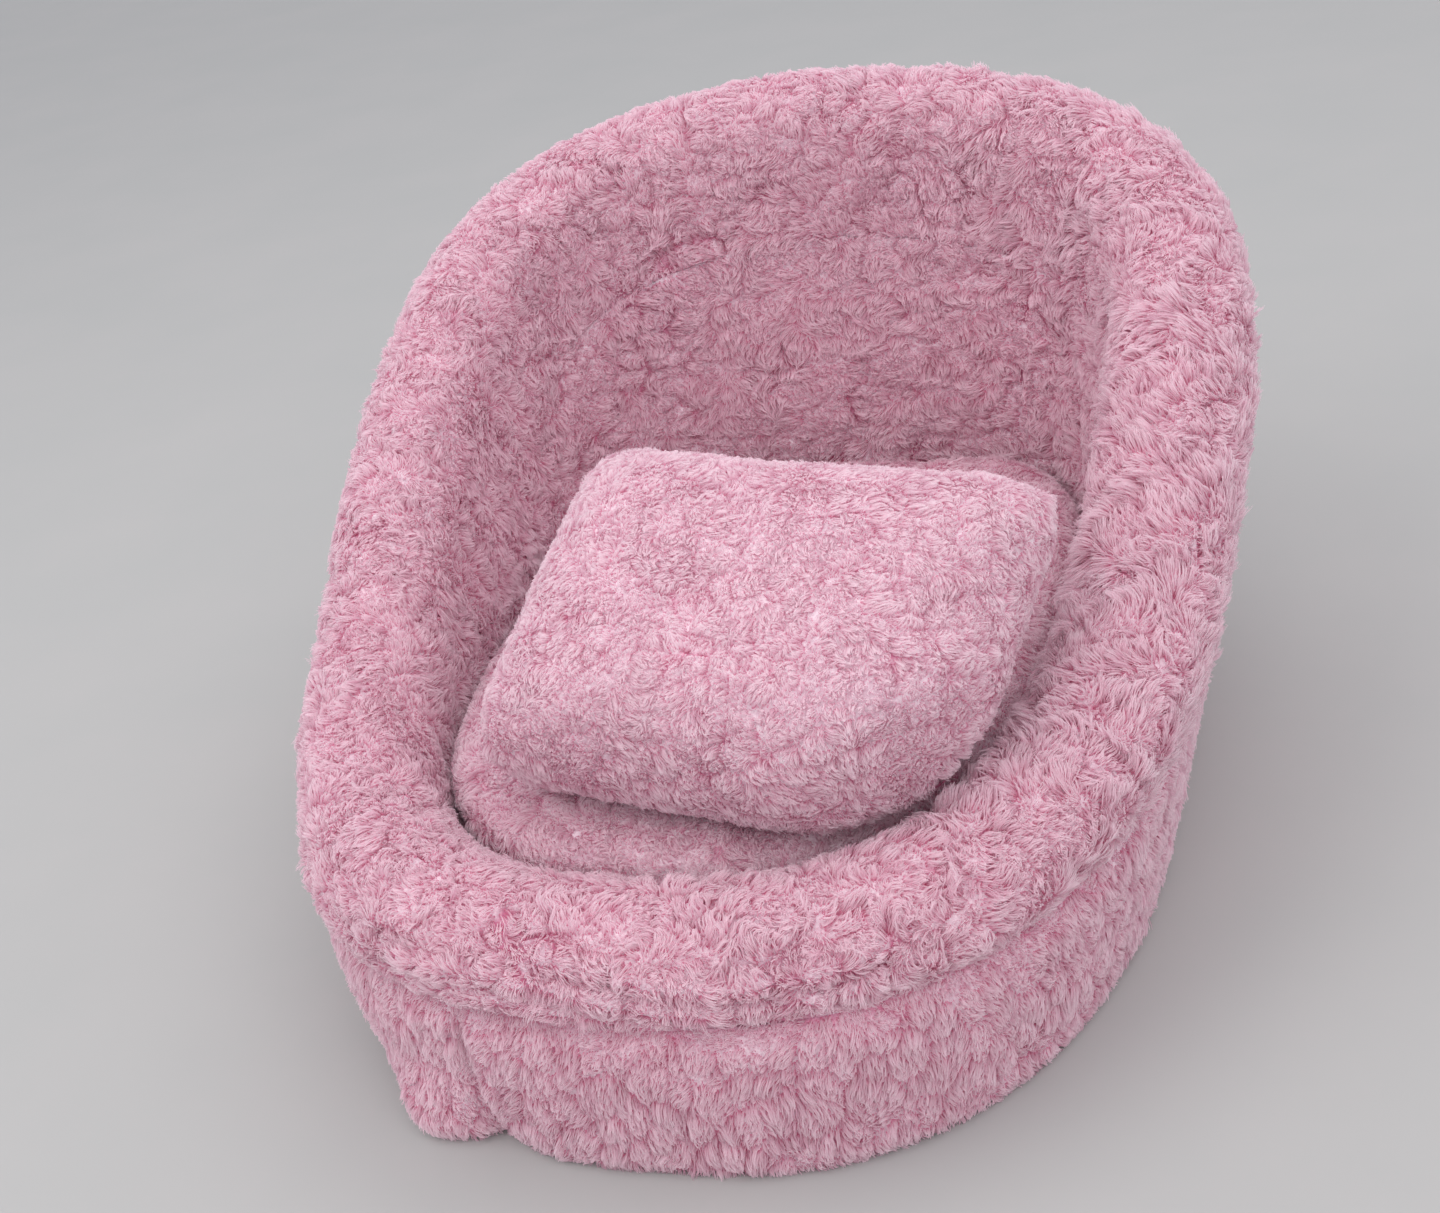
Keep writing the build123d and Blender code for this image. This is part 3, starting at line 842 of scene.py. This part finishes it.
def disc_grid(count):
    """A square grid laid onto a disc: each point's angle on the tub, and its share of the way out."""
    place = np.linspace(-1, 1, count)
    s, t = np.meshgrid(place, place, indexing="ij")
    wide = np.abs(s) > np.abs(t)
    longer, shorter = np.where(wide, s, t), np.where(wide, t, s)
    turn = pi / 4 * shorter / longer
    x = longer * np.where(wide, np.cos(turn), np.sin(turn))
    y = longer * np.where(wide, np.sin(turn), np.cos(turn))
    return np.arctan2(x, -y), np.hypot(x, y)


def seat_reach(angle, height, inset):
    """Distance from the tub's axis to the cushion's side, with its rear cut straight."""
    free = wall_reach(angle, height, WALL + SEAT_GAP + inset)
    rear = (SEAT_REAR - inset - AXIS_Y) / np.maximum(-np.cos(angle), 0.2)
    return np.minimum(free, rear)


def seat_half(face, inset):
    """The half cushion from the middle of one face, over its rounded edge, to the seam. Also the way left."""
    angle, share = disc_grid(SEAT_COUNT)
    side = 1 if face > SEAT_SEAM_HEIGHT else -1
    flat = seat_reach(angle, face - side * SEAT_ROUND, inset) - SEAT_ROUND
    arc = pi / 2 * SEAT_ROUND
    straight = abs(face - SEAT_SEAM_HEIGHT) - SEAT_ROUND
    along = share * (flat + arc + straight)
    turn = np.clip((along - flat) / SEAT_ROUND, 0, pi / 2)
    past = np.maximum(along - flat - arc, 0)
    height = face - side * (SEAT_ROUND * (1 - np.cos(turn)) + past)
    radius = np.minimum(along, flat) + SEAT_ROUND * np.sin(turn)
    radius = np.where(past > 0, seat_reach(angle, height, inset), radius)
    left = flat + arc + straight - along
    return from_axis(angle, radius, height), left


def make_seat_top():
    plain, left = seat_half(SEAT_TOP - PILE_BED, PILE_BED)
    x, y, height = np.moveaxis(plain, -1, 0)
    zip_side = smooth_step(*SEAT_ZIP_SIDE, np.abs(x)) * smooth_step(*SEAT_ZIP_TOP, height)
    zip_side = zip_side * smooth_step(*SEAT_ZIP_FRONT, y)
    inset = mix(PILE_BED + hem_dip(left, 2.0, 4), 0.2, zip_side)
    bed = relaxed(seat_half(SEAT_TOP - PILE_BED, inset)[0], 2, False)
    pile = smooth_step(0, 6, left) * (1 - zip_side)
    points, tuft = displaced(bed, False, pile, SEAT_TUFTS)
    # The tuft value is lowered where the pile thins, painting shade at the cushion's edge seam and over the
    # zip placket.
    cover = panel_piece("seat_top_plush", points, SEAT_PLUSH + 0 * left, {"tuft": tuft * (0.4 + 0.6 * pile)})
    cover.data.materials.append(PALE_PLUSH)
    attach(cover, "seat_cushion")
    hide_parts("seat_top_cover")
    comb = np.array([0.25, -0.35, 0.0]) + 0 * points
    length = (3.6 + 2.0 * smooth_step(40, 25, left)) * (0.6 + 0.4 * pile) * (1 - zip_side)
    grow("seat_pile", "seat_cushion", points, False, comb, length, SEAT_TUFTS, 700, PALE_FIBRES, lean=0.6)


def make_seat_bottom():
    """The cushion's plain underside, quilted a little by its own filling."""
    shape, left = seat_half(SEAT_BOTTOM + 0.6, 1.2)
    shape = shape[::-1]
    puff = 0.5 * swell(shape, 26, 51) * smooth_step(0, 10, left[::-1])
    points = shape + facing(shape, False) * puff[..., None]
    cover = panel_piece("seat_bottom_cloth", points, SEAT_CLOTH + 0 * left, {})
    cover.data.materials.append(LINING_CLOTH)
    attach(cover, "seat_cushion")
    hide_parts("seat_bottom_cover")


def make_seat_deck():
    """The cloth laid over the base foam, under the cushion."""
    angle, share = disc_grid(DECK_COUNT)
    low, high = (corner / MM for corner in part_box("seat_deck"))
    edge = wall_reach(angle, DECK_TOP, WALL + DECK_GAP)
    flat = from_axis(angle, edge * share, high.z - 0.4 + 0 * angle)
    ripple = 0.35 * swell(flat, 22, 61) * smooth_step(1, 0.9, share)
    points = flat + np.array([0, 0, 1]) * ripple[..., None]
    deck = panel_piece("seat_deck_cloth", points, DECK_CLOTH + 0 * angle, {})
    deck.data.materials.append(LINING_CLOTH)
    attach(deck, "shell")
    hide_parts("seat_deck")


make_seat_top()
make_seat_bottom()
make_seat_deck()

# ---------------------------------------------------------------- throw pillow

PILLOW_CENTRE = np.array([31.0, -101.0, 145.7])
PILLOW_YAW = radians(12)
PILLOW_INCLINE = radians(27)
PILLOW_ACROSS = np.array([cos(PILLOW_YAW), -sin(PILLOW_YAW), 0.0])
PILLOW_UP = np.array([
    sin(PILLOW_YAW) * cos(PILLOW_INCLINE),
    cos(PILLOW_YAW) * cos(PILLOW_INCLINE),
    sin(PILLOW_INCLINE),
])
PILLOW_OUT = np.cross(PILLOW_ACROSS, PILLOW_UP)
PILLOW_WIDTH = 194
PILLOW_LENGTH = 146
PILLOW_FRONT_DEPTH = 46
PILLOW_BACK_DEPTH = 27
PILLOW_CORE_INSET = 8.2
PILLOW_COLUMNS = 176
PILLOW_ROWS = 134
FILLING_COLUMNS = 70
FILLING_ROWS = 54
PILLOW_FRONT_FULLNESS = 2.8
PILLOW_BACK_FULLNESS = 5.0
PILLOW_FRONT_TUFTS = TuftKind(8.0, 1.3, (0.9, 0.9, 0.9), 805)
PILLOW_BACK_TUFTS = PILLOW_FRONT_TUFTS._replace(seed=905)
PILLOW_STRAND = 4.4
PILLOW_ZIP_RISE = 30
PLACKET_SIDE = (64, 58)
PLACKET_EDGE = (13, 9)

# The rim pushes the lower right corner in past this line, over this distance
PILLOW_TUCK = np.array([
    (PILLOW_WIDTH / 2 - 47, -PILLOW_LENGTH / 2),
    (PILLOW_WIDTH / 2, -PILLOW_LENGTH / 2 + 53),
])
TUCK_EASE = 17


def pillow_side(depth, fullness, inset, columns=PILLOW_COLUMNS, rows=PILLOW_ROWS):
    """One side of the pillow in its own frame: crowned, with edges that pull in between its corners."""
    s, t = np.meshgrid(
        np.sin(np.linspace(-pi / 2, pi / 2, columns)),
        np.sin(np.linspace(-pi / 2, pi / 2, rows)),
        indexing="ij",
    )
    across = (PILLOW_WIDTH / 2 - inset) * s * (1 - 0.03 * (1 - t**2))
    up = (PILLOW_LENGTH / 2 - inset) * t * (1 - np.where(t > 0, 0.115, -0.02) * (1 - s**2))
    corner = smooth_step(0.7, 1, np.abs(s)) * smooth_step(0.7, 1, np.abs(t))
    across, up = across * (1 - 0.05 * corner), up * (1 - 0.05 * corner)
    along_up = np.where(t < 0, fullness + 1.6, fullness)
    out = (depth - inset) * ((1 - np.abs(s) ** (fullness + 0.8)) * (1 - np.abs(t) ** along_up)) ** 0.5
    along_tuck = unit(PILLOW_TUCK[1] - PILLOW_TUCK[0])
    outward = np.array([along_tuck[1], -along_tuck[0]])
    beyond = (across - PILLOW_TUCK[0, 0]) * outward[0] + (up - PILLOW_TUCK[0, 1]) * outward[1] + TUCK_EASE
    eased = TUCK_EASE * (1 - np.exp(-np.maximum(beyond, 0) / TUCK_EASE))
    pushed = np.where(beyond > 0, eased - beyond, 0)
    across, up = across + pushed * outward[0], up + pushed * outward[1]
    return np.stack([across, up, out], axis=-1)


def pillow_to_tub(local, side):
    x, y, out = np.moveaxis(local, -1, 0)[..., None]
    return PILLOW_CENTRE + x * PILLOW_ACROSS + y * PILLOW_UP + side * out * PILLOW_OUT


def make_pillow_side(name, node, side, depth, fullness, kind):
    local = pillow_side(depth, fullness, PILE_BED)
    bed = pillow_to_tub(local, side)[::side]
    out = local[::side, :, 2]
    beside_zip = np.abs(local[..., 1] - PILLOW_ZIP_RISE)
    placket = smooth_step(*PLACKET_SIDE, np.abs(local[::side, :, 0])) * smooth_step(*PLACKET_EDGE, beside_zip)
    placket = placket * (side < 0)
    lift = np.maximum(depth - 0.2 - out, 0) * placket
    bed = bed + side * PILLOW_OUT * lift[..., None]
    pile = (0.35 + 0.65 * smooth_step(0, 14, out)) * (1 - placket)
    calm = smooth_step(-25, 30, local[::side, :, 1])
    points, tuft = displaced(bed, False, pile, kind, calm)
    thickness = 0.4 + 3.2 * smooth_step(0, 12, out)
    cover = panel_piece(name, points, thickness, {"tuft": tuft})
    cover.data.materials.append(PALE_PLUSH)
    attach(cover, "throw_pillow")
    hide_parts(node)
    comb = -0.25 * PILLOW_UP + 0.3 * PILLOW_ACROSS + 0 * points
    length = PILLOW_STRAND * (1 - placket)
    grow(name + "_pile", "throw_pillow", points, False, comb, length, kind, kind.seed + 5, PALE_FIBRES,
         density=PILLOW_PILE_DENSITY, lean=0.6)


def make_pillow_filling():
    """The loose fibre inside, in the shape of the pillow."""
    grid = (FILLING_COLUMNS, FILLING_ROWS)
    sides = []
    for side, depth, fullness in (
        (1, PILLOW_FRONT_DEPTH, PILLOW_FRONT_FULLNESS),
        (-1, PILLOW_BACK_DEPTH, PILLOW_BACK_FULLNESS),
    ):
        local = pillow_side(depth, fullness, PILLOW_CORE_INSET, *grid)
        sides.append(pillow_to_tub(local, side)[::side])
    front, back = sides
    lumps = 0.8 * swell(front, 9, 31)[..., None] * facing(front, False)
    points = np.concatenate([(front + lumps).reshape(-1, 3), back.reshape(-1, 3)])
    faces = grid_faces(*grid, False)[0]
    faces = np.concatenate([faces, faces + FILLING_COLUMNS * FILLING_ROWS])
    filling = make_mesh("pillow_fibre", points, faces)
    filling.data.materials.append(LOOSE_FIBRE)
    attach(filling, "throw_pillow")
    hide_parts("pillow_filling")


make_pillow_filling()
make_pillow_side(
    "pillow_front_plush", "pillow_front_cover", 1,
    PILLOW_FRONT_DEPTH, PILLOW_FRONT_FULLNESS, PILLOW_FRONT_TUFTS,
)
make_pillow_side(
    "pillow_back_plush", "pillow_back_cover", -1,
    PILLOW_BACK_DEPTH, PILLOW_BACK_FULLNESS, PILLOW_BACK_TUFTS,
)

# ---------------------------------------------------------------- zip teeth

TAPE = 0.7
COIL = 1.8
COIL_ROUND = 0.58
COIL_OFFSET = 1.0
COIL_SWING = 1.2
END_GAP = 1
TEETH_PITCH = 1.2
STEPS_PER_TURN = 10
WIRE = 0.28
SEAT_ZIP_LENGTH = 110
PILLOW_ZIP_LENGTH = 96


def make_zip_teeth(name, node, body, origin, along, out, length):
    """Two nylon coils, one on each tape, hooked into each other."""
    across = np.cross(out, along)
    curve = bpy.data.curves.new(name, "CURVE")
    curve.dimensions = "3D"
    curve.bevel_depth = WIRE * MM
    curve.bevel_resolution = 1
    run = length - 2 * END_GAP
    steps = np.arange(0, run / TEETH_PITCH, 1 / STEPS_PER_TURN)
    for side, phase in ((-1, 0.0), (1, 0.5)):
        turn = 2 * pi * steps
        x = (steps + phase / 2) * TEETH_PITCH - run / 2
        y = side * (COIL_OFFSET + COIL_SWING * np.cos(turn))
        z = TAPE + COIL / 2 + COIL_ROUND * np.sin(turn)
        path = origin + x[:, None] * along + y[:, None] * across + z[:, None] * out
        spline = curve.splines.new("POLY")
        spline.points.add(len(path) - 1)
        spline.points.foreach_set("co", np.column_stack([path * MM, np.ones(len(path))]).ravel())
    teeth = bpy.data.objects.new(name, curve)
    bpy.context.scene.collection.objects.link(teeth)
    curve.materials.append(NYLON)
    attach(teeth, body)
    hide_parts(node)


make_zip_teeth(
    "seat_zip_teeth", "seat_zip_coil", "seat_cushion",
    np.array([0, SEAT_REAR, SEAT_SEAM_HEIGHT]),
    np.array([-1.0, 0, 0]), np.array([0, 1.0, 0]), SEAT_ZIP_LENGTH,
)
make_zip_teeth(
    "pillow_zip_teeth", "pillow_zip_coil", "throw_pillow",
    PILLOW_CENTRE - PILLOW_BACK_DEPTH * PILLOW_OUT + PILLOW_ZIP_RISE * PILLOW_UP,
    -PILLOW_ACROSS, -PILLOW_OUT, PILLOW_ZIP_LENGTH,
)

# ---------------------------------------------------------------- floor, lights and camera

CAMERA_AIM = Vector((-0.0155, -0.0188, 0.1087))
CAMERA_AZIMUTH = radians(20.7)
CAMERA_ELEVATION = radians(28.16)
CAMERA_ROLL = radians(-10.66)
CAMERA_DISTANCE = 0.8192
LENS = 50.1
SENSOR_WIDTH = 36
FLOOR_REACH = 20000
SKY_COLOUR = (0.93, 0.94, 1.0, 1)
SKY_STRENGTH = 0.95
# Each light's name, place, aim, size, power and colour
LIGHTS = (
    ("window", (-0.9, -0.7, 1.5), (0, 0, 0.1), 1.4, 8, (1.0, 0.98, 0.96)),
    ("ceiling", (0.3, 0.4, 1.9), (0, 0, 0.1), 1.8, 7.5, (1.0, 0.97, 0.97)),
    ("room", (0.7, -1.2, 1.3), (0, 0.1, 0.15), 1.6, 9.5, (1.0, 0.98, 0.97)),
)


def make_camera():
    camera = bpy.data.objects.new("camera", bpy.data.cameras.new("camera"))
    camera.data.lens = LENS
    camera.data.sensor_width = SENSOR_WIDTH
    back = Vector((
        sin(CAMERA_AZIMUTH) * cos(CAMERA_ELEVATION),
        -cos(CAMERA_AZIMUTH) * cos(CAMERA_ELEVATION),
        sin(CAMERA_ELEVATION),
    ))
    level = (-back).to_track_quat("-Z", "Y").to_matrix().to_4x4()
    place = Matrix.Translation(CAMERA_AIM + back * CAMERA_DISTANCE)
    camera.matrix_world = place @ level @ Matrix.Rotation(CAMERA_ROLL, 4, "Z")
    bpy.context.scene.collection.objects.link(camera)
    bpy.context.scene.camera = camera


def make_area_light(name, place, aim, size, power, colour):
    light = bpy.data.objects.new(name, bpy.data.lights.new(name, "AREA"))
    light.data.shape = "DISK"
    light.data.size = size
    light.data.energy = power
    light.data.color = colour
    light.location = place
    light.rotation_mode = "QUATERNION"
    light.rotation_quaternion = (Vector(aim) - Vector(place)).to_track_quat("-Z", "Y")
    bpy.context.scene.collection.objects.link(light)


def make_stage():
    """A wide plain floor."""
    nodes = Nodes("stage_paper")
    grain = nodes.noise(8, 3)
    tone = nodes.ramp(grain, "Fac", [(0.3, linear(170, 170, 168)), (0.7, linear(173, 172, 170))])
    nodes.join(tone, "Color", nodes.shader, "Base Color")
    nodes.shader.inputs["Roughness"].default_value = 0.9
    place = np.linspace(-FLOOR_REACH, FLOOR_REACH, 3)
    points = np.stack(np.meshgrid(place, place, [0.0], indexing="ij"), axis=-1)[:, :, 0]
    floor = make_mesh("floor", points, grid_faces(3, 3, False)[0])
    floor.data.materials.append(nodes.material)


def make_world():
    world = bpy.data.worlds.new("studio")
    world.use_nodes = True
    background = world.node_tree.nodes["Background"]
    background.inputs["Color"].default_value = SKY_COLOUR
    background.inputs["Strength"].default_value = SKY_STRENGTH
    bpy.context.scene.world = world
    bpy.context.scene.view_settings.view_transform = "Standard"


make_camera()
make_stage()
make_world()
for light in LIGHTS:
    make_area_light(*light)
